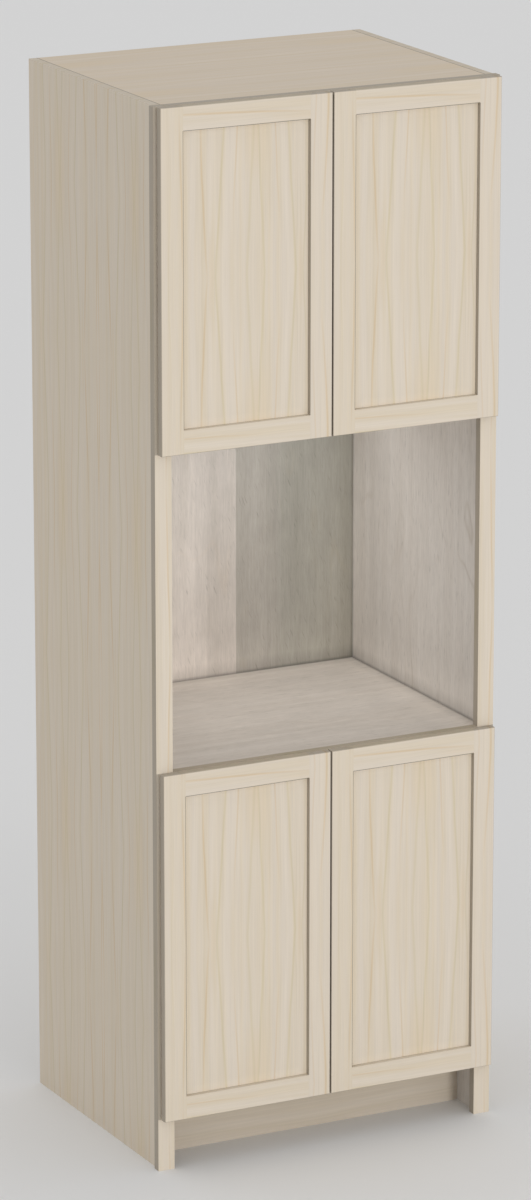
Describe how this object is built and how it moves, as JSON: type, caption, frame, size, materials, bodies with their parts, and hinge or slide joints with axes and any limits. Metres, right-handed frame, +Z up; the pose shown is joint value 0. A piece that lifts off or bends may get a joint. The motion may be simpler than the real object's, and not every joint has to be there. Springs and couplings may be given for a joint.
{
  "type": "tall oven housing cabinet",
  "caption": "Tall face-frame oven cabinet with an open oven bay, recessed-panel double doors above and below it on concealed hinges, shelves inside and a recessed toe kick.",
  "frame": {"origin": "middle of the overall box at floor level, doors included", "axes": "+X to the right seen from the front, -Y is where the doors face, +Z up"},
  "size_m": [0.8, 0.6306, 2.286],
  "materials": {
    "side_ply": "matt",
    "top_ply": "matt",
    "deck_ply": "matt",
    "back_ply": "matt",
    "toe_ply": "matt",
    "frame_stile_maple": "matt",
    "frame_rail_maple": "matt",
    "shelf_ply": "matt",
    "door_stile_maple": "matt",
    "door_rail_maple": "matt",
    "door_panel_maple": "matt",
    "hinge_steel": "nickel plated",
    "zinc_steel": "zinc plated",
    "clear_bumper": "clear soft"
  },
  "bodies": {
    "cabinet": {"left_side_panel": "side_ply", "right_side_panel": "side_ply", "top_panel": "top_ply", "upper_deck": "deck_ply", "oven_deck": "deck_ply", "bottom_panel": "deck_ply", "back_panel": "back_ply", "toe_kick_board": "toe_ply", "frame_left_stile": "frame_stile_maple", "frame_right_stile": "frame_stile_maple", "frame_top_rail": "frame_rail_maple", "frame_upper_rail": "frame_rail_maple", "frame_oven_rail": "frame_rail_maple", "frame_bottom_rail": "frame_rail_maple", "upper_shelf": "shelf_ply", "lower_shelf": "shelf_ply", "shelf_pins": "zinc_steel", "hinge_arms": "hinge_steel", "hinge_arm_screws": "zinc_steel"},
    "upper_left_door": {"ul_hinge_stile": "door_stile_maple", "ul_meeting_stile": "door_stile_maple", "ul_top_rail": "door_rail_maple", "ul_bottom_rail": "door_rail_maple", "ul_panel": "door_panel_maple", "ul_hinge_cups": "hinge_steel", "ul_hinge_pins": "zinc_steel", "ul_cup_screws": "zinc_steel", "ul_bumpers": "clear_bumper"},
    "upper_right_door": {"ur_hinge_stile": "door_stile_maple", "ur_meeting_stile": "door_stile_maple", "ur_top_rail": "door_rail_maple", "ur_bottom_rail": "door_rail_maple", "ur_panel": "door_panel_maple", "ur_hinge_cups": "hinge_steel", "ur_hinge_pins": "zinc_steel", "ur_cup_screws": "zinc_steel", "ur_bumpers": "clear_bumper"},
    "lower_left_door": {"ll_hinge_stile": "door_stile_maple", "ll_meeting_stile": "door_stile_maple", "ll_top_rail": "door_rail_maple", "ll_bottom_rail": "door_rail_maple", "ll_panel": "door_panel_maple", "ll_hinge_cups": "hinge_steel", "ll_hinge_pins": "zinc_steel", "ll_cup_screws": "zinc_steel", "ll_bumpers": "clear_bumper"},
    "lower_right_door": {"lr_hinge_stile": "door_stile_maple", "lr_meeting_stile": "door_stile_maple", "lr_top_rail": "door_rail_maple", "lr_bottom_rail": "door_rail_maple", "lr_panel": "door_panel_maple", "lr_hinge_cups": "hinge_steel", "lr_hinge_pins": "zinc_steel", "lr_cup_screws": "zinc_steel", "lr_bumpers": "clear_bumper"}
  },
  "joints": [
    {"name": "upper_left_door_hinge", "type": "hinge", "parent": "cabinet", "child": "upper_left_door", "pos_m": [-0.3855, -0.30725, 1.9245], "axis": [0, 0, -1], "range_deg": [0, 105]},
    {"name": "upper_right_door_hinge", "type": "hinge", "parent": "cabinet", "child": "upper_right_door", "pos_m": [0.3855, -0.30725, 1.9245], "axis": [0, 0, 1], "range_deg": [0, 105]},
    {"name": "lower_left_door_hinge", "type": "hinge", "parent": "cabinet", "child": "lower_left_door", "pos_m": [-0.3855, -0.30725, 0.4975], "axis": [0, 0, -1], "range_deg": [0, 105]},
    {"name": "lower_right_door_hinge", "type": "hinge", "parent": "cabinet", "child": "lower_right_door", "pos_m": [0.3855, -0.30725, 0.4975], "axis": [0, 0, 1], "range_deg": [0, 105]}
  ]
}
